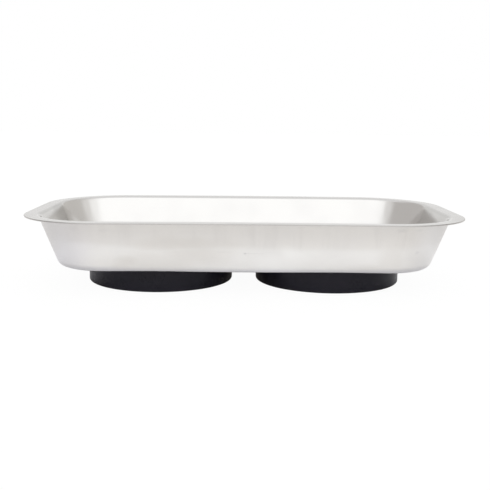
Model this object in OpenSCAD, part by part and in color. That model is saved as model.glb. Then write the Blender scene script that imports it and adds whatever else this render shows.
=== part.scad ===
// Magnetic parts tray: a pressed steel pan on two ring magnets, each in a rubber boot.
// Millimetres. The origin is on the surface the tray stands on, midway between the boots.
// X runs along the tray, Y across it, and Z up.

/* [Tray pan] */
// Length of the pan over its lip
tray_length = 240; // [210:1:320]
// Width of the pan over its lip
tray_width = 140; // [124:1:200]
// Corner radius of the lip's edge, seen from above
lip_corner_radius = 45; // [36:1:60]
// Flat width of the lip, from its bend to its edge
lip_flat_width = 6.4; // [4:0.1:10]
// Radius of the hollow under the bend from wall to lip
lip_bend_radius = 1.6; // [0.8:0.1:3]
// Depth from the top of the lip to the underside of the pan's floor
pan_depth = 28.5; // [18:0.5:36]
// Lean of the walls away from upright, in degrees
wall_lean = 21; // [8:0.5:26]
// Outer radius of the bend from floor to wall
floor_bend_radius = 5; // [2:0.5:8]
// Thickness of the pressed sheet
sheet_thickness = 0.7; // [0.5:0.1:1.2]

/* [Magnets] */
// Distance between the centres of the two magnets
magnet_spacing = 97; // [88:0.5:108]
// Outer diameter of a ring magnet
magnet_diameter = 80; // [64:1:86]
// Diameter of the hole through a ring magnet
magnet_bore = 40; // [32:1:46]
// Thickness of a ring magnet
magnet_thickness = 10; // [9:0.5:16]

/* [Rubber boots] */
// Gap between a magnet's rim and its boot
boot_clearance = 0.1; // [0.05:0.05:0.5]
// Thickness of a boot's side
boot_wall = 1.4; // [1.2:0.1:3]
// Thickness of a boot's base, under the magnet
boot_base = 3; // [2.4:0.1:5]
// Radius of a boot's lower outside edge
boot_edge_radius = 1.3; // [0.8:0.1:3]
// Number of grooves in the grip of a boot's base
grip_groove_count = 6; // [2:1:8]
// Width of one grip groove
grip_groove_width = 1.4; // [0.6:0.1:2]
// Depth of one grip groove
grip_groove_depth = 0.6; // [0.3:0.1:0.8]
// Distance from one grip groove to the next
grip_groove_step = 3.6; // [2.4:0.1:4]

/* [Clamps and fasteners] */
// Outer diameter of a clamp dish
dish_diameter = 54; // [48:1:62]
// Thickness of a clamp dish's sheet
dish_thickness = 1; // [0.6:0.1:1.4]
// Gap between a clamp dish and the hole in its magnet
dish_clearance = 0.5; // [0.2:0.1:1]
// How much narrower a clamp dish gets on each side, from its rim to its top
dish_taper = 4; // [1:0.5:8]
// Gap between a clamp dish's rim and the boot round it
dish_rim_clearance = 0.4; // [0.2:0.1:1]
// Thread diameter of a stud
stud_diameter = 5; // [4:0.5:6]
// Diameter of the weld flange at a stud's root
stud_flange_diameter = 6.5; // [6:0.5:8]
// Thickness of the weld flange
stud_flange_thickness = 0.8; // [0.5:0.1:1.2]
// Bevel at a stud's end
stud_bevel = 0.6; // [0.2:0.1:1]
// How far a stud's end stops short of the magnet's lower face
stud_setback = 0.5; // [0:0.1:1]
// Length of thread that shows past the nut
stud_show = 0.8; // [0.4:0.1:1.2]
// Gap between a stud's thread and what goes over it
thread_clearance = 0.1; // [0.05:0.05:0.3]
// Width of a nut across its flats
nut_width = 8; // [7:0.5:10]
// Height of a nut
nut_height = 4; // [3:0.1:4.4]
// Bevel at a nut's corners
nut_bevel = 0.5; // [0.2:0.1:0.8]
// Outer diameter of a lock washer
washer_diameter = 9.2; // [8:0.1:11]
// Thickness of a lock washer
washer_thickness = 1.2; // [0.8:0.1:1.4]
// Width of the split in a lock washer
washer_split = 0.9; // [0.4:0.1:1.5]

/* [Hidden] */
$fn = 96;
// Steps along each bend of the pressed sheet
bend_steps = 8;
// How far a cut runs past the face it opens
overrun = 1;

// Heights, from the surface up
magnet_bottom = boot_base;
floor_bottom = magnet_bottom + magnet_thickness;
lip_top = floor_bottom + pan_depth;
lip_bottom = lip_top - sheet_thickness;
stud_end = magnet_bottom + stud_setback;
nut_bottom = stud_end + stud_show;
washer_bottom = nut_bottom + nut_height;
dish_top_bottom = washer_bottom + washer_thickness;

// Centres of the corner arcs, seen from above
corner_x = tray_length / 2 - lip_corner_radius;
corner_y = tray_width / 2 - lip_corner_radius;

// Centres of the two bends in the pan's section, measured out from a corner's centre
lip_bend_height = lip_bottom - lip_bend_radius;
lip_bend_out = lip_corner_radius - lip_flat_width;
floor_bend_height = floor_bottom + floor_bend_radius;
bend_rise = lip_bend_height - floor_bend_height;
bend_run = (floor_bend_radius + lip_bend_radius + bend_rise * sin(wall_lean)) / cos(wall_lean);
lip_bend_centre = [lip_bend_out, lip_bend_height];
floor_bend_centre = [lip_bend_out - bend_run, floor_bend_height];

// Radii of the boots, the clamps and the fasteners
magnet_radius = magnet_diameter / 2;
boot_inside = magnet_radius + boot_clearance;
boot_outside = boot_inside + boot_wall;
grip_outermost = boot_outside - boot_edge_radius - grip_groove_step;
dish_radius = dish_diameter / 2;
dish_foot = magnet_bore / 2 - dish_clearance;
dish_head = dish_foot - dish_taper;
boot_recess = dish_radius + dish_rim_clearance;
boot_recess_bottom = magnet_bottom - dish_thickness - dish_rim_clearance;
stud_radius = stud_diameter / 2;
thread_hole = stud_radius + thread_clearance;
nut_corner = nut_width / 2 / cos(30);
washer_radius = washer_diameter / 2;
washer_gap_angle = 2 * asin(washer_split / (washer_radius + thread_hole));

// Points along an arc, from one angle to another
function arc(centre, radius, from, to) = [
    for (i = [0 : bend_steps])
        let (angle = from + (to - from) * i / bend_steps)
        centre + radius * [cos(angle), sin(angle)]
];

// Section of the pressed sheet, from a corner's centre out to the lip's edge:
// first along the outside of the pan, then back along its inside.
pan_section = concat(
    [[0, floor_bottom]],
    arc(floor_bend_centre, floor_bend_radius, -90, -wall_lean),
    arc(lip_bend_centre, lip_bend_radius, 180 - wall_lean, 90),
    [[lip_corner_radius, lip_bottom], [lip_corner_radius, lip_top]],
    arc(lip_bend_centre, lip_bend_radius + sheet_thickness, 90, 180 - wall_lean),
    arc(floor_bend_centre, floor_bend_radius - sheet_thickness, -wall_lean, -90),
    [[0, floor_bottom + sheet_thickness]]
);

// A straight stretch of wall and lip, whose section starts away from the tray's middle
module pan_side(run, away) {
    translate([-run / 2, away, 0])
        rotate([90, 0, 90])
        linear_extrude(run)
        polygon(pan_section);
}

module tray_pan() {
    color("lightgray") union() {
        for (turn = [0, 180]) {
            rotate(turn) pan_side(2 * corner_x, corner_y);
            rotate(turn + 90) pan_side(2 * corner_y, corner_x);
            rotate(turn) translate([corner_x, corner_y, 0])
                rotate_extrude(angle = 90) polygon(pan_section);
            rotate(turn) translate([-corner_x, corner_y, 0])
                rotate(90) rotate_extrude(angle = 90) polygon(pan_section);
        }
        translate([-corner_x, -corner_y, floor_bottom])
            cube([2 * corner_x, 2 * corner_y, sheet_thickness]);
    }
}

// Half of a boot's outline, with its lower edge rounded
module boot_outline() {
    square([boot_outside - boot_edge_radius, floor_bottom]);
    translate([0, boot_edge_radius])
        square([boot_outside, floor_bottom - boot_edge_radius]);
    translate([boot_outside - boot_edge_radius, boot_edge_radius])
        circle(boot_edge_radius);
}

module rubber_boot() {
    color([0.14, 0.14, 0.15]) rotate_extrude() difference() {
        boot_outline();
        translate([0, magnet_bottom])
            square([boot_inside, magnet_thickness + overrun]);
        translate([0, boot_recess_bottom])
            square([boot_recess, magnet_bottom - boot_recess_bottom + overrun]);
        for (i = [0 : grip_groove_count - 1])
            translate([grip_outermost - i * grip_groove_step, -overrun])
                square([grip_groove_width, grip_groove_depth + overrun]);
    }
}

module ring_magnet() {
    color([0.22, 0.22, 0.23]) translate([0, 0, magnet_bottom]) difference() {
        cylinder(h = magnet_thickness, d = magnet_diameter);
        translate([0, 0, -overrun])
            cylinder(h = magnet_thickness + 2 * overrun, d = magnet_bore);
    }
}

// A rim under the magnet, a leaning side up through its hole, and a flat top on the stud
module clamp_dish() {
    color("gainsboro") rotate_extrude() polygon([
        [thread_hole, dish_top_bottom],
        [dish_head - dish_thickness, dish_top_bottom],
        [dish_foot - dish_thickness, magnet_bottom - dish_thickness],
        [dish_radius, magnet_bottom - dish_thickness],
        [dish_radius, magnet_bottom],
        [dish_foot, magnet_bottom],
        [dish_head, dish_top_bottom + dish_thickness],
        [thread_hole, dish_top_bottom + dish_thickness],
    ]);
}

module weld_stud() {
    color("silver") rotate_extrude() polygon([
        [0, stud_end],
        [stud_radius - stud_bevel, stud_end],
        [stud_radius, stud_end + stud_bevel],
        [stud_radius, floor_bottom - stud_flange_thickness],
        [stud_flange_diameter / 2, floor_bottom - stud_flange_thickness],
        [stud_flange_diameter / 2, floor_bottom],
        [0, floor_bottom],
    ]);
}

module lock_washer() {
    color("darkgray") translate([0, 0, washer_bottom])
        rotate(washer_gap_angle / 2)
        rotate_extrude(angle = 360 - washer_gap_angle)
        translate([thread_hole, 0])
        square([washer_radius - thread_hole, washer_thickness]);
}

module hex_nut() {
    color("silver") translate([0, 0, nut_bottom]) difference() {
        intersection() {
            cylinder(h = nut_height, r = nut_corner, $fn = 6);
            rotate_extrude() polygon([
                [0, 0],
                [nut_corner - nut_bevel, 0],
                [nut_corner, nut_bevel],
                [nut_corner, nut_height - nut_bevel],
                [nut_corner - nut_bevel, nut_height],
                [0, nut_height],
            ]);
        }
        translate([0, 0, -overrun])
            cylinder(h = nut_height + 2 * overrun, r = thread_hole);
    }
}

// Moves a base's piece to the left or the right magnet's centre
module at_left() {
    translate([-magnet_spacing / 2, 0, 0]) children();
}

module at_right() {
    translate([magnet_spacing / 2, 0, 0]) children();
}

tray_pan();
at_left() rubber_boot();  // left_rubber_boot
at_right() rubber_boot();  // right_rubber_boot
at_left() ring_magnet();  // left_ring_magnet
at_right() ring_magnet();  // right_ring_magnet
at_left() clamp_dish();  // left_clamp_dish
at_right() clamp_dish();  // right_clamp_dish
at_left() weld_stud();  // left_weld_stud
at_right() weld_stud();  // right_weld_stud
at_left() lock_washer();  // left_lock_washer
at_right() lock_washer();  // right_lock_washer
at_left() hex_nut();  // left_hex_nut
at_right() hex_nut();  // right_hex_nut
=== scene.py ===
# %% [markdown]
# # A magnetic parts tray
# The tray is a pan pressed from one sheet of stainless steel. It stands on two flat ring magnets,
# and each magnet sits in a black rubber boot. The construction model is already packed, so this
# lesson loads it, looks at it through a camera, and then gives each piece its real surface.
# Everything is in metres, and the tray stands on the floor at height zero.

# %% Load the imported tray
import math

import bpy
from mathutils import Matrix, Vector


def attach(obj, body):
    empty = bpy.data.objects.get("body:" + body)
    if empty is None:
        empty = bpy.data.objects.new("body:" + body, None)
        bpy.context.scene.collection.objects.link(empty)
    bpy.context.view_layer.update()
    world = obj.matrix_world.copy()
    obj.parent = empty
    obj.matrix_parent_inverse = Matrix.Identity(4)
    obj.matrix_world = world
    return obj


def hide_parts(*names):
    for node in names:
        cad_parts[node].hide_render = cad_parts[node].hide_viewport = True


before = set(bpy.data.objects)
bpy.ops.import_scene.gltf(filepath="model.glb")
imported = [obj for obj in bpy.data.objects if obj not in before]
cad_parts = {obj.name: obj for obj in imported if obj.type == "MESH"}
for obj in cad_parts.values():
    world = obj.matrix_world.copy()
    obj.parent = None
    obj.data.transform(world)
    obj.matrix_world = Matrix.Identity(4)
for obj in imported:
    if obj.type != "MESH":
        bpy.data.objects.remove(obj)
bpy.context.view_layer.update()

print("pieces:", sorted(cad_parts))

# %% [markdown]
# ## The camera
# A picture only looks right from the place where it was taken. The tray is seen from just above its
# rim, a little under half a metre away. The lens shift keeps the tray where it sits in the frame. The
# very small bearing and roll are how far the real camera was turned aside and off level.

# %% Set up the camera
mm = 0.001
image_side = 490
eye_distance = 455 * mm
eye_elevation = math.radians(8.66)
eye_bearing = math.radians(0.7)
eye_roll = math.radians(0.59)
look_at = Vector((0, 0, 25 * mm))
lens_pixels = 776.55
centre_pixel = (244.17, 235.815)

level_ahead = Vector((math.sin(eye_bearing), math.cos(eye_bearing), 0))
level_right = Vector((math.cos(eye_bearing), -math.sin(eye_bearing), 0))
forward = math.cos(eye_elevation) * level_ahead - math.sin(eye_elevation) * Vector((0, 0, 1))
level_up = level_right.cross(forward)
eye_right = math.cos(eye_roll) * level_right + math.sin(eye_roll) * level_up
eye_up = math.cos(eye_roll) * level_up - math.sin(eye_roll) * level_right

lens = bpy.data.cameras.new("Tray camera")
lens.sensor_width = 36
lens.lens = lens_pixels * lens.sensor_width / image_side
lens.shift_x = (image_side / 2 - centre_pixel[0]) / image_side
lens.shift_y = (centre_pixel[1] - image_side / 2) / image_side
lens.clip_start = 0.01
camera = bpy.data.objects.new("Tray camera", lens)
camera.matrix_world = Matrix.Translation(look_at - eye_distance * forward) @ Matrix(
    (eye_right, eye_up, -forward)).transposed().to_4x4()
bpy.context.scene.collection.objects.link(camera)
bpy.context.scene.camera = camera
print("lens in mm:", round(lens.lens, 2))

# %% [markdown]
# ## Helpers for node trees
# Finishes and shapes are both node trees, so the same small helpers serve both. One adds a node and
# fills its inputs, where a value is typed in and a socket is linked. The others are short names for
# the sums, ramps and noises that every finish needs.

# %% Node helpers
def place(tree, kind, inputs=None, **settings):
    made = tree.nodes.new(kind)
    for name, value in settings.items():
        setattr(made, name, value)
    for name, value in (inputs or {}).items():
        if isinstance(value, bpy.types.NodeSocket):
            tree.links.new(value, made.inputs[name])
        else:
            made.inputs[name].default_value = value
    return made


def calc(tree, operation, *values):
    return place(tree, "ShaderNodeMath", dict(enumerate(values)), operation=operation).outputs[0]


def product(tree, first, *others):
    for other in others:
        first = calc(tree, "MULTIPLY", first, other)
    return first


def vector(tree, operation, *values):
    made = place(tree, "ShaderNodeVectorMath", dict(enumerate(values)), operation=operation)
    return made.outputs["Value" if operation in ("LENGTH", "DISTANCE", "DOT_PRODUCT") else "Vector"]


def stretched(tree, where, factor):
    made = place(tree, "ShaderNodeVectorMath", {0: where, "Scale": factor}, operation="SCALE")
    return made.outputs["Vector"]


def split(tree, where):
    return place(tree, "ShaderNodeSeparateXYZ", {0: where}).outputs


def combine(tree, x, y, z):
    return place(tree, "ShaderNodeCombineXYZ", {0: x, 1: y, 2: z}).outputs[0]


def ramp(tree, value, start, end, low=0.0, high=1.0):
    made = place(tree, "ShaderNodeMapRange", {0: value, 1: start, 2: end, 3: low, 4: high},
                 interpolation_type="SMOOTHSTEP")
    return made.outputs[0]


def noise(tree, where, scale=1.0, detail=2.0, rough=0.5):
    made = place(tree, "ShaderNodeTexNoise",
                 {"Vector": where, "Scale": scale, "Detail": detail, "Roughness": rough})
    return made.outputs[0]


print("helpers ready")

# %% [markdown]
# ## Helpers for finishes
# A finish is one Principled shader with patterns feeding its colour, roughness and bump. Patterns are
# measured in millimetres on the piece itself, so that a grain of a tenth of a millimetre is written
# as a tenth, and it stays on the surface from every side.

# %% Finish helpers
def new_finish(name, metallic, specular=0.5):
    finish = bpy.data.materials.new(name)
    finish.use_nodes = True
    tree = finish.node_tree
    shader = tree.nodes["Principled BSDF"]
    shader.inputs["Metallic"].default_value = metallic
    shader.inputs["Specular IOR Level"].default_value = specular
    return finish, tree, shader


def in_millimetres(tree):
    return stretched(tree, place(tree, "ShaderNodeTexCoord").outputs["Object"], 1000.0)


def own_attribute(tree, name):
    made = place(tree, "ShaderNodeAttribute", attribute_name=name, attribute_type="GEOMETRY")
    return stretched(tree, made.outputs["Vector"], 1000.0)


def tint(tree, amount, first, second):
    made = place(tree, "ShaderNodeMix", {0: amount}, data_type="RGBA")
    for index, colour in ((6, first), (7, second)):
        if isinstance(colour, bpy.types.NodeSocket):
            tree.links.new(colour, made.inputs[index])
        else:
            made.inputs[index].default_value = (*colour, 1.0)
    return made.outputs[2]


def raised(tree, height, depth_mm, below=None):
    made = place(tree, "ShaderNodeBump", {"Strength": 1.0, "Distance": depth_mm * mm, "Height": height})
    if below is not None:
        tree.links.new(below, made.inputs["Normal"])
    return made.outputs[0]


print("finish helpers ready")

# %% [markdown]
# ## Finish: satin stainless
# The pan is cold-rolled stainless sheet, which is a soft grey satin and not a mirror. Rolling leaves
# a very fine grain along the sheet. The upper half of the outside wall has painted shade, a little
# darker and warmer, standing in for the darker reflection it shows, with faint streaks down the wall.
# A painted picture could carry this, but patterns written in millimetres can be moved and checked. The
# streaks follow a place on the rim that each point of the pan keeps as its own attribute.

# %% Patterns on the steel
magnet_centre = 48.5
steel, tree, shader = new_finish("satin_stainless", metallic=1.0)
spot = in_millimetres(tree)
spot_x, spot_y, spot_z = split(tree, spot)
off_middle = calc(tree, "ABSOLUTE", spot_x)
rim = own_attribute(tree, "rim_point")
facing = split(tree, place(tree, "ShaderNodeNewGeometry").outputs["Normal"])
outside = ramp(tree, facing[2], 0.05, -0.15)
inside = calc(tree, "SUBTRACT", 1.0, outside)

grain = noise(tree, vector(tree, "MULTIPLY", spot, (0.07, 1.9, 1.9)), 1.0, 3.0, 0.6)
down = combine(tree, 0.0, 0.0, calc(tree, "MULTIPLY", spot_z, 0.03))
streaks = noise(tree, vector(tree, "ADD", stretched(tree, rim, 0.22), down), 1.0, 4.0, 0.6)
smudge = noise(tree, spot, 0.045, 2.0, 0.4)
patch = noise(tree, spot, 0.016, 2.0, 0.5)
print("patterns:", len(tree.nodes), "nodes so far")

# %% Colour of the steel
bare_steel = (0.800, 0.793, 0.783)
shaded_upper_steel = (0.766, 0.752, 0.735)
# Painted shade: the upper half of the outside wall is darker and warmer, standing in for the darker
# reflection it shows.
wander = calc(tree, "MULTIPLY", calc(tree, "SUBTRACT", patch, 0.5), 6.0)
climb = ramp(tree, off_middle, 55.0, 105.0, 0.0, -2.2)
upper_wall_shade = ramp(tree, calc(tree, "ADD", spot_z, calc(tree, "ADD", wander, climb)), 25.4, 29.6)
upper_wall_shade = calc(tree, "MULTIPLY", outside, upper_wall_shade)
colour = tint(tree, upper_wall_shade, bare_steel, shaded_upper_steel)
colour = tint(tree, ramp(tree, smudge, 0.35, 0.68, 0.0, 0.30), colour, (0.735, 0.727, 0.723))
streaked = calc(tree, "MULTIPLY", upper_wall_shade, ramp(tree, streaks, 0.46, 0.70, 0.0, 0.21))
colour = tint(tree, streaked, colour, (0.63, 0.615, 0.605))
print("colour:", len(tree.nodes), "nodes so far")

# %% [markdown]
# ### Rubs and patches on the front wall
# Handling leaves small dark rubs with crumbled edges. The wall is also darker in a few broad patches
# and a little brighter in one. Each is an oval on the wall whose edge is shaken by a noise. A place in
# the lists is the middle in x and z, the half length and the half height in millimetres, and the strength.

# %% Rubs and patches
front = calc(tree, "MULTIPLY", outside, ramp(tree, spot_y, -30.0, -40.0))
crumble = noise(tree, spot, 0.9, 3.0, 0.6)


def oval_patches(places, edge, shake, fade):
    strongest = 0.0
    for x, z, half_long, half_high, strength in places:
        across = calc(tree, "DIVIDE", calc(tree, "SUBTRACT", spot_x, x), half_long)
        up = calc(tree, "DIVIDE", calc(tree, "SUBTRACT", spot_z, z), half_high)
        reach = vector(tree, "LENGTH", combine(tree, across, up, 0.0))
        uneven = calc(tree, "ADD", reach, ramp(tree, edge, 0.3, 0.7, -shake, shake))
        strongest = calc(tree, "MAXIMUM", strongest, ramp(tree, uneven, *fade, 0.0, strength))
    return calc(tree, "MULTIPLY", strongest, front)


rub_places = (
    (-0.2, 24.3, 0.9, 0.5, 0.60), (4.0, 24.3, 6.0, 0.35, 0.16), (-11.5, 25.0, 4.0, 0.7, 0.10),
    (-21.0, 26.6, 6.0, 1.6, 0.07), (89.3, 24.8, 1.5, 1.1, 0.30), (79.5, 37.6, 3.0, 1.2, 0.24),
    (89.0, 37.4, 2.6, 0.9, 0.18), (-88.0, 37.0, 2.4, 1.2, 0.16), (-72.0, 36.4, 3.0, 1.0, 0.12),
)
# Broad patches where the wall is darker, and one where it is a little brighter.
darker_patch_places = (
    (-46.0, 19.0, 26.0, 6.0, 0.55), (-26.0, 23.5, 19.0, 6.0, 0.75), (97.0, 21.0, 15.0, 9.0, 0.25),
    (66.0, 15.0, 20.0, 3.0, 0.60), (76.0, 20.0, 6.0, 7.0, 0.45), (-64.0, 16.5, 6.0, 3.5, 0.70),
    (-31.0, 29.0, 25.0, 4.2, 0.85), (-61.0, 19.8, 8.0, 3.6, 0.78),
)
brighter_patch_places = ((13.5, 17.5, 16.0, 9.0, 0.75),)
colour = tint(tree, oval_patches(rub_places, crumble, 0.35, (1.25, 0.35)), colour, (0.55, 0.545, 0.55))
colour = tint(tree, oval_patches(darker_patch_places, smudge, 0.3, (1.5, 0.2)), colour, (0.70, 0.682, 0.660))
colour = tint(tree, oval_patches(brighter_patch_places, smudge, 0.3, (1.5, 0.2)), colour, (0.866, 0.864, 0.858))
print("wear:", len(rub_places), "rubs and", len(darker_patch_places), "dull patches")

# %% [markdown]
# ### Ends, bends and lip
# At the ends the outside wall has a painted cool tint, a painted reflection of bluish shade, and it is
# painted darker where the wall bends into the floor. The cut edge of the lip is painted dark, and the
# wall just under the lip has a painted shadow. The lip is painted darker towards the back and the ends,
# and so is the flat of each end wall inside, the left one most. All of these are painted shade.

# %% Ends, bends and lip
# Painted reflection: the ends of the outside wall are tinted cool, like the bluish shade they mirror.
cool_end_reflection = product(tree, ramp(tree, off_middle, 82.0, 100.0), outside, 0.6)
colour = tint(tree, cool_end_reflection, colour, (0.745, 0.747, 0.765))
# Painted shade: the bend into the floor is darker towards the ends, standing in for the shadow it reflects.
bend_shade = product(tree, ramp(tree, spot_z, 17.2, 15.2, 0.0, 0.75), outside,
                  ramp(tree, off_middle, 52.0, 82.0))
colour = tint(tree, bend_shade, colour, (0.67, 0.665, 0.67))
# Painted shade: the cut edge of the lip is dark, most at the ends.
to_rim = vector(tree, "MULTIPLY", vector(tree, "SUBTRACT", spot, rim), (1.0, 1.0, 0.0))
edge_shade = calc(tree, "MULTIPLY", ramp(tree, vector(tree, "LENGTH", to_rim), 0.5, 0.15),
               ramp(tree, off_middle, 70.0, 105.0, 0.41, 1.0))
colour = tint(tree, edge_shade, colour, (0.44, 0.432, 0.428))
# Painted shadow on the outside wall just under the lip.
under_lip_shadow = calc(tree, "MULTIPLY", outside, ramp(tree, spot_z, 38.2, 40.4, 0.0, 0.5))
colour = tint(tree, under_lip_shadow, colour, (0.69, 0.675, 0.66))
# Painted shade: the top of the lip is darker towards the back and the ends.
lip_shade_reach = calc(tree, "MAXIMUM", ramp(tree, spot_y, -40.0, 60.0),
                   ramp(tree, off_middle, 106.0, 114.0, 0.0, 0.75))
lip_shade = product(tree, inside, ramp(tree, spot_z, 40.2, 40.7), lip_shade_reach)
colour = tint(tree, lip_shade, colour, (0.71, 0.702, 0.695))
# Painted shade on the flat of each end wall inside, and more on the left one.
end_wall_shade = product(tree, ramp(tree, off_middle, 100.0, 106.0), ramp(tree, spot_z, 40.95, 40.6),
                   ramp(tree, spot_y, 27.0, 23.0), inside)
colour = tint(tree, end_wall_shade, colour, (0.68, 0.675, 0.665))
left_end_shade = product(tree, end_wall_shade, ramp(tree, spot_x, -90.0, -100.0),
                    ramp(tree, spot_y, -2.0, 8.0, 0.0, 0.6))
colour = tint(tree, left_end_shade, colour, (0.57, 0.567, 0.56))
print("ends, bends and lip:", len(tree.nodes), "nodes so far")

# %% [markdown]
# ### The floor inside, gloss and relief
# Parts sliding about scratch the floor of the pan, in long thin lines that cross. The heat of each
# stud weld leaves a faint straw ring with violet in its middle. The gloss then changes a little with
# the grain, the smudges and the scratches, and the same patterns give a very low relief.

# %% Scratches and heat marks
def scratches(turn, width, amount):
    turned = place(tree, "ShaderNodeMapping",
                   {"Vector": spot, "Rotation": (0.0, 0.0, math.radians(turn))}).outputs[0]
    lines = noise(tree, vector(tree, "MULTIPLY", turned, (0.022, width, 0.4)), 1.0, 1.0, 0.4)
    return ramp(tree, lines, amount, amount + 0.05)


marks = calc(tree, "MAXIMUM", scratches(24, 1.7, 0.68), scratches(-41, 1.4, 0.69))
marks = calc(tree, "MAXIMUM", marks, scratches(78, 1.9, 0.70))
marks = product(tree, inside, marks, ramp(tree, spot_z, 20.0, 15.0))
colour = tint(tree, calc(tree, "MULTIPLY", marks, 0.45), colour, (0.60, 0.595, 0.59))

weld_x = calc(tree, "SUBTRACT", off_middle, magnet_centre)
from_weld = vector(tree, "LENGTH", combine(tree, weld_x, spot_y, 0.0))
from_weld = calc(tree, "ADD", from_weld, ramp(tree, crumble, 0.3, 0.7, -0.5, 0.5))
on_floor = calc(tree, "MULTIPLY", inside, ramp(tree, spot_z, 16.0, 14.5))
straw = calc(tree, "MULTIPLY", on_floor, ramp(tree, from_weld, 7.5, 4.0, 0.0, 0.30))
colour = tint(tree, straw, colour, (0.72, 0.65, 0.54))
violet = calc(tree, "MULTIPLY", on_floor, ramp(tree, from_weld, 3.6, 2.0, 0.0, 0.35))
colour = tint(tree, violet, colour, (0.58, 0.58, 0.66))
tree.links.new(colour, shader.inputs["Base Color"])
print("scratches and heat marks:", len(tree.nodes), "nodes so far")

# %% Gloss and relief of the steel
roughness = calc(tree, "ADD", 0.17, calc(tree, "MULTIPLY", outside, 0.05))
roughness = calc(tree, "ADD", roughness, ramp(tree, grain, 0.3, 0.7, -0.012, 0.012))
roughness = calc(tree, "ADD", roughness, ramp(tree, smudge, 0.35, 0.7, -0.015, 0.03))
roughness = calc(tree, "ADD", roughness, calc(tree, "MULTIPLY", marks, 0.05))
tree.links.new(roughness, shader.inputs["Roughness"])

bumps = raised(tree, grain, 0.0004)
bumps = raised(tree, streaks, 0.004, bumps)
bumps = raised(tree, calc(tree, "SUBTRACT", 1.0, marks), 0.004, bumps)
tree.links.new(bumps, shader.inputs["Normal"])
print("finish:", steel.name, len(tree.nodes), "nodes")

# %% [markdown]
# ## Finish: moulded rubber
# The boots are black rubber out of a steel mould. The skin has a soft half gloss and a very fine
# pebble. It picks up specks of pale dust, and a chalky rub along its lower edge, where it meets the
# bench. Each point knows its place from its boot's own axis, so one finish serves both boots.

# %% Moulded rubber
rubber, tree, shader = new_finish("black_rubber", metallic=0.0, specular=0.18)
spot = in_millimetres(tree)
from_axis = own_attribute(tree, "from_axis")
axis_x, axis_y, height = split(tree, from_axis)
reach = vector(tree, "LENGTH", combine(tree, axis_x, axis_y, 0.0))
pebble = noise(tree, spot, 2.2, 3.0, 0.6)
cloud = noise(tree, spot, 0.07, 4.0, 0.6)
dust = noise(tree, spot, 0.9, 2.0, 0.5)
foot = calc(tree, "MULTIPLY", ramp(tree, height, 2.4, 0.3), ramp(tree, reach, 38.5, 40.8))
rub = calc(tree, "MULTIPLY", foot, ramp(tree, noise(tree, spot, 0.35, 4.0, 0.65), 0.45, 0.72))
dark_rubber = (0.0130, 0.0121, 0.0196)
pale_rubber = (0.0160, 0.0149, 0.0234)
colour = tint(tree, ramp(tree, cloud, 0.35, 0.7), dark_rubber, pale_rubber)
colour = tint(tree, calc(tree, "MULTIPLY", rub, 0.5), colour, (0.045, 0.044, 0.045))
colour = tint(tree, ramp(tree, dust, 0.70, 0.80, 0.0, 0.30), colour, (0.07, 0.07, 0.068))
tree.links.new(colour, shader.inputs["Base Color"])
roughness = calc(tree, "ADD", ramp(tree, cloud, 0.3, 0.7, 0.27, 0.36),
                 ramp(tree, pebble, 0.3, 0.7, -0.03, 0.03))
roughness = calc(tree, "ADD", roughness, calc(tree, "MULTIPLY", rub, 0.15))
tree.links.new(roughness, shader.inputs["Roughness"])
tree.links.new(raised(tree, pebble, 0.006), shader.inputs["Normal"])
print("finish:", rubber.name, len(tree.nodes), "nodes")

# %% [markdown]
# ## Finish: sintered ferrite
# The ring magnets are a dark ceramic, pressed from powder and fired. The two flat faces are ground,
# which leaves fine straight lines, and the round sides stay as they came from the kiln, with a dull
# speckle.

# %% Sintered ferrite
ferrite, tree, shader = new_finish("black_ferrite", metallic=0.0, specular=0.45)
spot = in_millimetres(tree)
spot_x, spot_y = split(tree, spot)[:2]
facing = split(tree, place(tree, "ShaderNodeNewGeometry").outputs["Normal"])
ground = ramp(tree, calc(tree, "ABSOLUTE", facing[2]), 0.6, 0.9)
speckle = noise(tree, spot, 1.6, 4.0, 0.7)
kiln = noise(tree, spot, 0.12, 3.0, 0.5)
wheel_path = combine(tree, calc(tree, "MULTIPLY", spot_x, 0.05), calc(tree, "MULTIPLY", spot_y, 3.0), 0.0)
wheel = noise(tree, wheel_path, 1.0, 2.0, 0.6)
colour = tint(tree, ramp(tree, kiln, 0.3, 0.7), (0.026, 0.025, 0.026), (0.040, 0.037, 0.036))
colour = tint(tree, ramp(tree, speckle, 0.60, 0.75, 0.0, 0.5), colour, (0.085, 0.080, 0.078))
wheel_lines = calc(tree, "MULTIPLY", ground, ramp(tree, wheel, 0.4, 0.7, 0.0, 0.5))
colour = tint(tree, wheel_lines, colour, (0.075, 0.073, 0.073))
tree.links.new(colour, shader.inputs["Base Color"])
roughness = calc(tree, "SUBTRACT", ramp(tree, speckle, 0.3, 0.7, 0.62, 0.74),
                 calc(tree, "MULTIPLY", ground, 0.2))
tree.links.new(roughness, shader.inputs["Roughness"])
bumps = raised(tree, speckle, 0.03)
bumps = raised(tree, calc(tree, "MULTIPLY", ground, wheel), 0.01, bumps)
tree.links.new(bumps, shader.inputs["Normal"])
print("finish:", ferrite.name, len(tree.nodes), "nodes")

# %% [markdown]
# ## Finish: zinc plating
# The clamp dish, the stud, the washer and the nut are plain steel with a thin coat of zinc. It is a
# bluish silver with faint straw and violet patches from the last dip, and tiny dull spots. One
# function makes it three times: smooth for the pressed dish, turned for the stud and nut, and darker
# for the spring washer.

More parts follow.
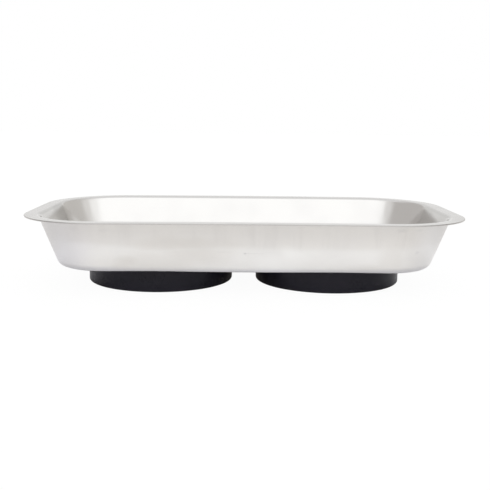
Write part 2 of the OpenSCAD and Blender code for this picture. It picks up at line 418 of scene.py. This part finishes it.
# %% Zinc plating
def zinc_finish(name, light, dark, ring_depth, spiral):
    finish, tree, shader = new_finish(name, metallic=1.0)
    spot = in_millimetres(tree)
    spot_x, spot_y, spot_z = split(tree, spot)
    across = calc(tree, "SUBTRACT", calc(tree, "ABSOLUTE", spot_x), magnet_centre)
    reach = vector(tree, "LENGTH", combine(tree, across, spot_y, 0.0))
    turn = calc(tree, "DIVIDE", calc(tree, "ARCTAN2", spot_y, across), 2 * math.pi)
    cloud = noise(tree, spot, 0.25, 3.0, 0.55)
    dip = noise(tree, spot, 0.11, 2.0, 0.5)
    dots = noise(tree, spot, 3.0, 2.0, 0.5)
    colour = tint(tree, ramp(tree, cloud, 0.3, 0.7), light, dark)
    colour = tint(tree, ramp(tree, dip, 0.52, 0.72, 0.0, 0.35), colour, (0.72, 0.66, 0.52))
    colour = tint(tree, ramp(tree, dip, 0.45, 0.28, 0.0, 0.30), colour, (0.60, 0.58, 0.72))
    colour = tint(tree, ramp(tree, dots, 0.66, 0.76, 0.0, 0.5), colour, (0.42, 0.42, 0.43))
    tree.links.new(colour, shader.inputs["Base Color"])
    roughness = calc(tree, "ADD", ramp(tree, cloud, 0.3, 0.7, 0.28, 0.40),
                     ramp(tree, dots, 0.6, 0.8, 0.0, 0.15))
    tree.links.new(roughness, shader.inputs["Roughness"])
    lathe = calc(tree, "ADD", calc(tree, "MULTIPLY", reach, 2.2),
                 calc(tree, "MULTIPLY", spot_z, spiral))
    groove = calc(tree, "PINGPONG", calc(tree, "ADD", lathe, turn), 0.5)
    bumps = raised(tree, groove, ring_depth)
    tree.links.new(raised(tree, dots, 0.006, bumps), shader.inputs["Normal"])
    print("finish:", finish.name, len(tree.nodes), "nodes")
    return finish


zinc_sheet = zinc_finish("zinc_plated_sheet", (0.70, 0.71, 0.73), (0.60, 0.61, 0.63), 0.002, 0.0)
zinc_turned = zinc_finish("zinc_plated_thread", (0.68, 0.69, 0.71), (0.57, 0.58, 0.60), 0.02, 1.25)
zinc_spring = zinc_finish("zinc_plated_spring", (0.52, 0.52, 0.53), (0.42, 0.42, 0.43), 0.004, 0.0)

# %% [markdown]
# ## Growing a piece from Geometry Nodes
# A pressed pan and a moulded boot both follow a rule: one section carried round a path. Geometry Nodes
# can hold that rule with every size as a named input. The result is then turned into a plain mesh and
# the modifier is taken off, so that what is seen is that mesh. A weighted-normal step keeps
# flat faces flat next to their tight bends.

# %% Tree and growing helpers
def new_tree(name, sizes):
    tree = bpy.data.node_groups.new(name, "GeometryNodeTree")
    tree.is_modifier = True
    for label, value in sizes.items():
        kind = {int: "NodeSocketInt", float: "NodeSocketFloat"}.get(type(value), "NodeSocketMaterial")
        tree.interface.new_socket(label, in_out="INPUT", socket_type=kind)
    tree.interface.new_socket("Piece", in_out="OUTPUT", socket_type="NodeSocketGeometry")
    return tree, place(tree, "NodeGroupInput").outputs


def grow(name, tree, sizes):
    piece = bpy.data.objects.new(name, bpy.data.meshes.new(name))
    bpy.context.scene.collection.objects.link(piece)
    rule = piece.modifiers.new("Rule", "NODES")
    rule.node_group = tree
    for socket in tree.interface.items_tree:
        if socket.in_out == "INPUT":
            rule[socket.identifier] = sizes[socket.name]
    flats = piece.modifiers.new("Flats", "WEIGHTED_NORMAL")
    flats.keep_sharp = True
    graph = bpy.context.evaluated_depsgraph_get()
    mesh = bpy.data.meshes.new_from_object(piece.evaluated_get(graph), preserve_all_data_layers=True,
                                           depsgraph=graph)
    piece.modifiers.clear()
    piece.data = mesh
    mesh.name = name
    return piece


def enclosed(piece):
    volume = 0.0
    piece.data.calc_loop_triangles()
    for corner in piece.data.loop_triangles:
        a, b, c = (piece.data.vertices[i].co for i in corner.vertices)
        volume += a.dot(b.cross(c)) / 6
    return volume * 1e9


def by_index(tree, kind, values, index=None):
    made = place(tree, "GeometryNodeIndexSwitch", data_type=kind)
    while len(made.index_switch_items) < len(values):
        made.index_switch_items.new()
    tree.links.new(index or place(tree, "GeometryNodeInputIndex").outputs[0], made.inputs[0])
    for number, value in enumerate(values):
        if isinstance(value, bpy.types.NodeSocket):
            tree.links.new(value, made.inputs[number + 1])
        else:
            made.inputs[number + 1].default_value = value
    return made.outputs[0]


def position(tree):
    return place(tree, "GeometryNodeInputPosition").outputs[0]


def evened(tree, curve, step):
    here = position(tree)
    count = place(tree, "GeometryNodeAttributeDomainSize", {0: curve}, component="CURVE").outputs[0]
    index = place(tree, "GeometryNodeInputIndex").outputs[0]
    following = calc(tree, "MODULO", calc(tree, "ADD", index, 1.0), count)
    next_point = place(tree, "GeometryNodeFieldAtIndex", data_type="FLOAT_VECTOR", domain="POINT")
    tree.links.new(here, next_point.inputs[0])
    tree.links.new(following, next_point.inputs[1])
    gap = vector(tree, "DISTANCE", here, next_point.outputs[0])
    cuts = calc(tree, "SUBTRACT", calc(tree, "ROUND", calc(tree, "DIVIDE", gap, step)), 1.0)
    cuts = calc(tree, "MAXIMUM", cuts, 0.0)
    return place(tree, "GeometryNodeSubdivideCurve", {0: curve, 1: cuts}).outputs[0]


def remembered(tree, geometry, name, value):
    made = place(tree, "GeometryNodeStoreNamedAttribute", {0: geometry, "Name": name},
                 data_type="FLOAT_VECTOR", domain="POINT")
    tree.links.new(value, made.inputs["Value"])
    return made.outputs[0]


def recalled(tree, name):
    return place(tree, "GeometryNodeInputNamedAttribute", {"Name": name},
                 data_type="FLOAT_VECTOR").outputs[0]


def finished(tree, geometry, finish):
    smooth = place(tree, "GeometryNodeSetShadeSmooth", {0: geometry}).outputs[0]
    real = place(tree, "GeometryNodeRealizeInstances", {0: smooth}).outputs[0]
    dressed = place(tree, "GeometryNodeSetMaterial", {0: real, "Material": finish}).outputs[0]
    place(tree, "NodeGroupOutput", {0: dressed})


merge_gap = 0.002 * mm
print("growing helpers ready, points closer than", merge_gap / mm, "mm are merged")

# %% [markdown]
# ## The pan's sizes
# The numbers repeat the construction model's. The section has four sharp corners before it is
# rounded: the foot and the head of the wall, each on the outside and the inside of the sheet. They
# follow from the lean of the wall and from the centre of the floor bend, which is given by its
# distance out from the flat middle of the floor and its height.

# %% Pan sizes
lean = math.radians(21)
sheet = 0.7
floor_bottom = 13.0
lip_top = 41.5
floor_bend = 5.0
lip_bend = 1.6
bend_out, bend_up = 23.3925, 18.0


def wall_at(height, offset):
    return bend_out + (offset + (height - bend_up) * math.sin(lean)) / math.cos(lean)


pan_sizes = {
    "Length": 240 * mm,
    "Width": 140 * mm,
    "Corner radius": 45 * mm,
    "Floor height": floor_bottom * mm,
    "Lip height": lip_top * mm,
    "Sheet": sheet * mm,
    "Foot outside": wall_at(floor_bottom, floor_bend) * mm,
    "Head outside": wall_at(lip_top - sheet, floor_bend) * mm,
    "Foot inside": wall_at(floor_bottom + sheet, floor_bend - sheet) * mm,
    "Head inside": wall_at(lip_top, floor_bend - sheet) * mm,
    "Floor bend": floor_bend * mm,
    "Lip bend": lip_bend * mm,
    "Edge round": 0.2 * mm,
    "Step along": 1.25 * mm,
    "Step across": 2.0 * mm,
    "Corner steps": 40,
    "Rim bow": 0.49 * mm,
    "Belly": 0.05 * mm,
    "Waviness": 0.10 * mm,
    "Pucker": 0.05 * mm,
    "Weld mark": 0.10 * mm,
    "Weld centre": magnet_centre * mm,
    "Finish": steel,
}
wall_ends = [pan_sizes["Foot outside"], pan_sizes["Head outside"]]
print("wall foot and head in mm:", [round(end / mm, 3) for end in wall_ends])

# %% [markdown]
# ## The pan's rule
# A rounded rectangle is the rim, and the cut sheet is the section. Sweeping one along the other gives
# the right faces, and then each point is set exactly: it starts from the nearest point of the flat
# rectangle in the middle of the floor and goes straight out by its distance in the section. Two grids
# close the floor.

# %% Rim and section of the pan
tree, size = new_tree("Pressed pan", pan_sizes)
half_long = calc(tree, "SUBTRACT", calc(tree, "MULTIPLY", size["Length"], 0.5), size["Corner radius"])
half_wide = calc(tree, "SUBTRACT", calc(tree, "MULTIPLY", size["Width"], 0.5), size["Corner radius"])
floor_top = calc(tree, "ADD", size["Floor height"], size["Sheet"])
lip_under = calc(tree, "SUBTRACT", size["Lip height"], size["Sheet"])

rim = place(tree, "GeometryNodeCurvePrimitiveQuadrilateral",
            {"Width": size["Length"], "Height": size["Width"]}, mode="RECTANGLE").outputs[0]
rim = place(tree, "GeometryNodeFilletCurve",
            {0: rim, "Count": size["Corner steps"], "Radius": size["Corner radius"]},
            mode="POLY").outputs[0]
rim = evened(tree, rim, size["Step along"])
rim = remembered(tree, rim, "rim_point", position(tree))

corners = by_index(tree, "VECTOR", [
    combine(tree, 0.0, size["Floor height"], 0.0),
    combine(tree, size["Foot outside"], size["Floor height"], 0.0),
    combine(tree, size["Head outside"], lip_under, 0.0),
    combine(tree, size["Corner radius"], lip_under, 0.0),
    combine(tree, size["Corner radius"], size["Lip height"], 0.0),
    combine(tree, size["Head inside"], size["Lip height"], 0.0),
    combine(tree, size["Foot inside"], floor_top, 0.0),
    combine(tree, 0.0, floor_top, 0.0),
])
rounds = by_index(tree, "FLOAT", [
    0.0, size["Floor bend"], size["Lip bend"], size["Edge round"], size["Edge round"],
    calc(tree, "ADD", size["Lip bend"], size["Sheet"]),
    calc(tree, "SUBTRACT", size["Floor bend"], size["Sheet"]), 0.0,
])
steps = [1, 10, 8, 4, 4, 8, 10, 1]
section = place(tree, "GeometryNodePoints", {"Count": len(steps), "Position": corners}).outputs[0]
section = place(tree, "GeometryNodePointsToCurves", {0: section}).outputs[0]
section = place(tree, "GeometryNodeFilletCurve",
                {0: section, "Count": by_index(tree, "INT", steps), "Radius": rounds},
                mode="POLY").outputs[0]
section = evened(tree, section, size["Step across"])
section = remembered(tree, section, "section", position(tree))
print("rim and section laid out:", len(tree.nodes), "nodes so far")

# %% Sweep the section and close the floor
swept = place(tree, "GeometryNodeCurveToMesh", {"Curve": rim, "Profile Curve": section}).outputs[0]
swept = place(tree, "GeometryNodeFlipFaces", {0: swept}).outputs[0]
rim_point = recalled(tree, "rim_point")
section_out, section_up = split(tree, recalled(tree, "section"))[:2]
far_corner = combine(tree, half_long, half_wide, 0.0)
near_corner = combine(tree, calc(tree, "MULTIPLY", half_long, -1.0),
                      calc(tree, "MULTIPLY", half_wide, -1.0), 0.0)
nearest = vector(tree, "MAXIMUM", vector(tree, "MINIMUM", rim_point, far_corner), near_corner)
outward = vector(tree, "NORMALIZE", vector(tree, "SUBTRACT", rim_point, nearest))
in_section = vector(tree, "ADD", stretched(tree, outward, section_out),
                    combine(tree, 0.0, 0.0, section_up))
exact = vector(tree, "ADD", nearest, in_section)
swept = place(tree, "GeometryNodeSetPosition", {0: swept, "Position": exact}).outputs[0]


def floor_grid(height):
    sides = [calc(tree, "MULTIPLY", half, 2.0) for half in (half_long, half_wide)]
    cells = [calc(tree, "ADD", calc(tree, "ROUND", calc(tree, "DIVIDE", side, size["Step along"])), 1.0)
             for side in sides]
    grid = place(tree, "GeometryNodeMeshGrid", {"Size X": sides[0], "Size Y": sides[1],
                                                "Vertices X": cells[0], "Vertices Y": cells[1]}).outputs[0]
    return place(tree, "GeometryNodeTransform",
                 {0: grid, "Translation": combine(tree, 0.0, 0.0, height)}).outputs[0]


upper = floor_grid(floor_top)
lower = place(tree, "GeometryNodeFlipFaces", {0: floor_grid(size["Floor height"])}).outputs[0]
whole = place(tree, "GeometryNodeJoinGeometry")
for part in (lower, upper, swept):
    tree.links.new(part, whole.inputs[0])
whole = place(tree, "GeometryNodeMergeByDistance", {0: whole.outputs[0], "Distance": merge_gap}).outputs[0]
print("sweep and floor joined:", len(tree.nodes), "nodes so far")

# %% [markdown]
# ### Pressed a little out of true
# A pressed sheet springs back, so the true shape gives way to a real one. The rim droops a little
# towards the ends, the walls belly out by a hair and are not quite flat, the corners pucker faintly
# under the lip, and each weld stud leaves a shallow mark in the floor. A bump in the finish would
# only look right from some sides, so the points themselves move.

# %% Droop and belly
here = position(tree)
here_x, here_y, here_z = split(tree, here)
rise = ramp(tree, here_z, floor_top, size["Lip height"])
along = calc(tree, "DIVIDE", here_x, calc(tree, "MULTIPLY", size["Length"], 0.5))
droop = calc(tree, "MULTIPLY", calc(tree, "MULTIPLY", along, along),
             calc(tree, "MULTIPLY", rise, size["Rim bow"]))

wave = calc(tree, "SUBTRACT", noise(tree, here, 24.0, 1.0), 1.0)
wave = calc(tree, "MULTIPLY", wave, calc(tree, "MULTIPLY", rise, size["Waviness"]))
belly_foot, belly_head = 17 * mm, 40 * mm
up_wall = place(tree, "ShaderNodeMapRange", {0: here_z, 1: belly_foot, 2: belly_head}).outputs[0]
belly = calc(tree, "SINE", calc(tree, "MULTIPLY", up_wall, math.pi))
wave = calc(tree, "ADD", wave, calc(tree, "MULTIPLY", belly, size["Belly"]))
print("droop and belly:", len(tree.nodes), "nodes so far")

# %% Puckers and weld marks
out_x, out_y = split(tree, outward)[:2]
corner = calc(tree, "MULTIPLY", calc(tree, "ABSOLUTE", calc(tree, "MULTIPLY", out_x, out_y)), 2.0)
band = calc(tree, "MULTIPLY", ramp(tree, here_z, 26 * mm, 37 * mm), ramp(tree, here_z, 40.6 * mm, 39.2 * mm))
ripples_a_radian = 34.0
bearing = calc(tree, "MULTIPLY", calc(tree, "ARCTAN2", out_y, out_x), ripples_a_radian)
strayed = calc(tree, "MULTIPLY", noise(tree, rim_point, 60.0, 1.0), 9.0)
ripple = calc(tree, "SINE", calc(tree, "ADD", bearing, strayed))
pucker = calc(tree, "MULTIPLY", calc(tree, "MULTIPLY", ripple, size["Pucker"]),
              calc(tree, "MULTIPLY", corner, band))

weld_x = calc(tree, "SUBTRACT", calc(tree, "ABSOLUTE", here_x), size["Weld centre"])
weld_reach = vector(tree, "LENGTH", combine(tree, weld_x, here_y, 0.0))
on_top = ramp(tree, here_z, size["Floor height"], floor_top)
weld = calc(tree, "MULTIPLY", ramp(tree, weld_reach, 6 * mm, 1.5 * mm),
            calc(tree, "MULTIPLY", on_top, size["Weld mark"]))

sunk = calc(tree, "MULTIPLY", calc(tree, "ADD", droop, weld), -1.0)
moved = vector(tree, "ADD", stretched(tree, outward, calc(tree, "ADD", wave, pucker)),
               combine(tree, 0.0, 0.0, sunk))
whole = place(tree, "GeometryNodeSetPosition", {0: whole, "Offset": moved}).outputs[0]
finished(tree, whole, size["Finish"])

pan = grow("pressed_pan", tree, pan_sizes)
print("pan:", len(pan.data.vertices), "points,", round(enclosed(pan)), "cubic mm of steel")

# %% Put the pan on the frame
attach(pan, "root")
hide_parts("tray_pan")
print("pan box in mm:", [round(1000 * side, 2) for side in pan.dimensions])

# %% [markdown]
# ## The boots' rule
# A boot is turned round its axis, so it is one section carried round a circle. The section starts at
# the middle of the base and steps in and out of each grip groove, which is a counted rule. Then it
# goes round the soft lower edge, up the side, over the rim and back down inside, where the magnet and
# its clamp sit.

# %% Boot sizes and rule
boot_sizes = {
    "Outside": 41.5 * mm,
    "Inside": 40.1 * mm,
    "Height": floor_bottom * mm,
    "Base": 3.0 * mm,
    "Recess": 27.4 * mm,
    "Recess floor": 1.6 * mm,
    "Lower round": 1.3 * mm,
    "Rim round": 0.35 * mm,
    "Grooves": 6,
    "Groove start": 18.6 * mm,
    "Groove step": 3.6 * mm,
    "Groove width": 1.4 * mm,
    "Groove depth": 0.6 * mm,
    "Groove round": 0.18 * mm,
    "Sides": 144,
    "Centre": -magnet_centre * mm,
    "Finish": rubber,
}
tree, size = new_tree("Moulded boot", boot_sizes)
points_a_groove = 4.0
index = place(tree, "GeometryNodeInputIndex").outputs[0]
groove_points = calc(tree, "MULTIPLY", size["Grooves"], points_a_groove)
step_index = calc(tree, "SUBTRACT", index, 1.0)
which = calc(tree, "FLOOR", calc(tree, "DIVIDE", step_index, points_a_groove))
quarter = calc(tree, "SUBTRACT", step_index, calc(tree, "MULTIPLY", which, points_a_groove))
far_side = calc(tree, "GREATER_THAN", quarter, 1.5)
groove_out = calc(tree, "ADD", size["Groove start"],
                  calc(tree, "ADD", calc(tree, "MULTIPLY", which, size["Groove step"]),
                       calc(tree, "MULTIPLY", far_side, size["Groove width"])))
cut_deep = calc(tree, "LESS_THAN", calc(tree, "ABSOLUTE", calc(tree, "SUBTRACT", quarter, 1.5)), 1.0)
groove_at = combine(tree, groove_out, calc(tree, "MULTIPLY", cut_deep, size["Groove depth"]), 0.0)
past = calc(tree, "MAXIMUM", calc(tree, "SUBTRACT", index, groove_points), 0.0)
in_groove = calc(tree, "MULTIPLY", calc(tree, "GREATER_THAN", index, 0.5),
                 calc(tree, "LESS_THAN", index, calc(tree, "ADD", groove_points, 0.5)))
print("boot grooves counted:", len(tree.nodes), "nodes so far")

# %% Section of the boot
outline = by_index(tree, "VECTOR", [
    (0.0, 0.0, 0.0),
    combine(tree, size["Outside"], 0.0, 0.0),
    combine(tree, size["Outside"], size["Height"], 0.0),
    combine(tree, size["Inside"], size["Height"], 0.0),
    combine(tree, size["Inside"], size["Base"], 0.0),
    combine(tree, size["Recess"], size["Base"], 0.0),
    combine(tree, size["Recess"], size["Recess floor"], 0.0),
    combine(tree, 0.0, size["Recess floor"], 0.0),
], past)
inner_round, recess_round = 0.3 * mm, 0.2 * mm
rounds = by_index(tree, "FLOAT", [0.0, size["Lower round"], size["Rim round"], size["Rim round"],
                                  inner_round, recess_round, inner_round, 0.0], past)
steps = [1, 10, 4, 4, 2, 2, 2, 1]
groove_steps = 3


def either(kind, elsewhere, in_a_groove):
    return place(tree, "GeometryNodeSwitch", {0: in_groove, 1: elsewhere, 2: in_a_groove},
                 input_type=kind).outputs[0]


spots = either("VECTOR", outline, groove_at)
rounds = either("FLOAT", rounds, size["Groove round"])
counts = either("INT", by_index(tree, "INT", steps, past), groove_steps)
section = place(tree, "GeometryNodePoints",
                {"Count": calc(tree, "ADD", groove_points, float(len(steps))), "Position": spots}).outputs[0]
section = place(tree, "GeometryNodePointsToCurves", {0: section}).outputs[0]
section = place(tree, "GeometryNodeFilletCurve", {0: section, "Count": counts, "Radius": rounds},
                mode="POLY").outputs[0]
section = evened(tree, section, 2.5 * mm)
section = remembered(tree, section, "section", position(tree))
print("boot section laid out:", len(tree.nodes), "nodes so far")

# %% Turn the boots
circle = place(tree, "GeometryNodeCurvePrimitiveCircle", {"Resolution": size["Sides"], "Radius": 1.0},
               mode="RADIUS").outputs[0]
circle = remembered(tree, circle, "heading", position(tree))
turned = place(tree, "GeometryNodeCurveToMesh", {"Curve": circle, "Profile Curve": section}).outputs[0]
turned = place(tree, "GeometryNodeFlipFaces", {0: turned}).outputs[0]
section_out, section_up = split(tree, recalled(tree, "section"))[:2]
heading = vector(tree, "NORMALIZE", recalled(tree, "heading"))
about = vector(tree, "ADD", stretched(tree, heading, section_out), combine(tree, 0.0, 0.0, section_up))
turned = place(tree, "GeometryNodeSetPosition", {0: turned, "Position": about}).outputs[0]
turned = place(tree, "GeometryNodeMergeByDistance", {0: turned, "Distance": merge_gap}).outputs[0]
turned = remembered(tree, turned, "from_axis", position(tree))
turned = place(tree, "GeometryNodeTransform",
               {0: turned, "Translation": combine(tree, size["Centre"], 0.0, 0.0)}).outputs[0]
finished(tree, turned, size["Finish"])

for side, centre in (("left", -magnet_centre), ("right", magnet_centre)):
    boot = grow(side + "_moulded_boot", tree, {**boot_sizes, "Centre": centre * mm})
    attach(boot, "root")
    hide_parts(side + "_rubber_boot")
    print(boot.name, len(boot.data.vertices), "points,", round(enclosed(boot)), "cubic mm of rubber")

# %% [markdown]
# ## Pieces that keep their construction shape
# The magnets, clamp dishes, studs, washers and nuts are inside the boots. Their shapes are already
# right, so each keeps its mesh and gets its finish.

# %% Dress the inner pieces
inner_finishes = {
    "ring_magnet": ferrite,
    "clamp_dish": zinc_sheet,
    "weld_stud": zinc_turned,
    "lock_washer": zinc_spring,
    "hex_nut": zinc_turned,
}
for side in ("left", "right"):
    for name, finish in inner_finishes.items():
        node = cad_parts[side + "_" + name]
        for socket in node.material_slots:
            socket.material = finish
        print(node.name, "is", finish.name)

# %% [markdown]
# ## The floor
# The floor is plain white. To the camera it is mostly its own white with a little shading left, so the
# tray keeps a pale shadow. It lies a hair below zero, so that it doesn't coincide with the undersides
# of the boots. In reflections it also shows the soft light that a bright wall throws down around
# the tray, which is what brightens the lower half of the front wall.

# %% Floor
scene = bpy.context.scene
scene.view_settings.view_transform = "Standard"
floor_level = -0.05 * mm
floor_reach = 4.0
floor_mesh = bpy.data.meshes.new("floor")
floor_mesh.from_pydata([(-floor_reach, -floor_reach, floor_level), (floor_reach, -floor_reach, floor_level),
                        (floor_reach, floor_reach, floor_level), (-floor_reach, floor_reach, floor_level)],
                       [], [(0, 1, 2, 3)])
floor = bpy.data.objects.new("floor", floor_mesh)
scene.collection.objects.link(floor)
floor_finish = bpy.data.materials.new("white_floor")
floor_finish.use_nodes = True
tree = floor_finish.node_tree
tree.nodes.remove(tree.nodes["Principled BSDF"])
print("floor laid", -floor_level / mm, "mm below zero")

# %% Light thrown on the floor
spot_x, spot_y = split(tree, in_millimetres(tree))[:2]
past_right = calc(tree, "MULTIPLY", calc(tree, "SUBTRACT", spot_x, 75.0), 0.78)
past_left = calc(tree, "SUBTRACT", -82.0, spot_x)
aside = calc(tree, "MAXIMUM", calc(tree, "MAXIMUM", past_right, past_left), 0.0)
in_front = calc(tree, "MAXIMUM", calc(tree, "SUBTRACT", calc(tree, "ABSOLUTE", spot_y), 25.0), 0.0)
from_middle = vector(tree, "LENGTH", combine(tree, aside, in_front, 0.0))
rising = calc(tree, "ADD", ramp(tree, from_middle, 4.0, 16.0, 0.0, 0.68),
              ramp(tree, from_middle, 26.0, 50.0, 0.0, 0.32))
fading = calc(tree, "ADD", ramp(tree, from_middle, 50.0, 62.0, 0.0, 0.39),
              ramp(tree, from_middle, 58.0, 80.0, 0.0, 0.30))
thrown = product(tree, calc(tree, "SUBTRACT", rising, fading),
                 ramp(tree, spot_x, -72.0, -130.0, 1.0, 0.58),
                 ramp(tree, spot_x, 66.0, 125.0, 1.0, 0.66))
thrown_colour = tint(tree, ramp(tree, from_middle, 42.0, 22.0), (0.465, 0.470, 0.475), (0.42, 0.437, 0.488))
thrown_colour = tint(tree, ramp(tree, spot_x, -80.0, -115.0), thrown_colour, (0.455, 0.462, 0.515))
print("thrown light:", len(tree.nodes), "nodes")

# %% Floor finish
path = place(tree, "ShaderNodeLightPath").outputs
mirrored = calc(tree, "MAXIMUM", path["Is Glossy Ray"], path["Is Transmission Ray"])
paint = tint(tree, path["Is Camera Ray"], (0.80, 0.80, 0.80), (0.06, 0.06, 0.06))
paint = tint(tree, mirrored, paint, (0.77, 0.76, 0.75))
glow = tint(tree, path["Is Camera Ray"], (0.0, 0.0, 0.0), (0.955, 0.955, 0.955))
glow = tint(tree, mirrored, glow, tint(tree, thrown, (0.06, 0.053, 0.047), thrown_colour))
shaded = place(tree, "ShaderNodeBsdfDiffuse", {"Color": paint})
lit = place(tree, "ShaderNodeEmission", {"Color": glow, "Strength": 1.0})
both = place(tree, "ShaderNodeAddShader", {0: shaded.outputs[0], 1: lit.outputs[0]})
tree.links.new(both.outputs[0], tree.nodes["Material Output"].inputs["Surface"])
floor_mesh.materials.append(floor_finish)
print("floor:", floor_finish.name)

# %% [markdown]
# ## The light
# A satin pan shows its surroundings as broad soft tones, so the room is a plain white tent. A large
# soft panel stands in front and to the right, the top is bright, the back is pale, and the sides are
# darker, which is what draws the inside corners of the pan. To the camera the tent is plain white.

# %% White tent
tent = bpy.data.worlds.new("white_tent")
scene.world = tent
tent.use_nodes = True
tree = tent.node_tree
direction = place(tree, "ShaderNodeTexCoord").outputs["Generated"]
to_x, to_y, to_z = split(tree, direction)
bearing = calc(tree, "ARCTAN2", to_x, calc(tree, "MULTIPLY", to_y, -1.0))
panel = product(tree, ramp(tree, bearing, 2.02, 0.80), ramp(tree, bearing, -1.40, -0.61),
                ramp(tree, to_z, 0.22, 0.42), ramp(tree, to_z, 0.985, 0.90))
behind = ramp(tree, calc(tree, "ABSOLUTE", bearing), 2.74, 2.88)
overhead = ramp(tree, to_z, 0.60, 1.0)
sides = tint(tree, ramp(tree, to_x, -0.4, 0.4), (0.56, 0.54, 0.525), (0.62, 0.60, 0.575))
back = tint(tree, ramp(tree, to_z, 0.05, 0.12), (1.00, 0.995, 0.985), (0.80, 0.795, 0.785))
light = tint(tree, behind, sides, back)
light = tint(tree, overhead, light, (0.98, 0.98, 0.98))
light = tint(tree, panel, light, (1.25, 1.25, 1.245))
seen = place(tree, "ShaderNodeLightPath").outputs["Is Camera Ray"]
light = tint(tree, seen, light, (1.0, 1.0, 1.0))
tree.links.new(light, tree.nodes["Background"].inputs["Color"])
print("tent:", len(tree.nodes), "nodes")
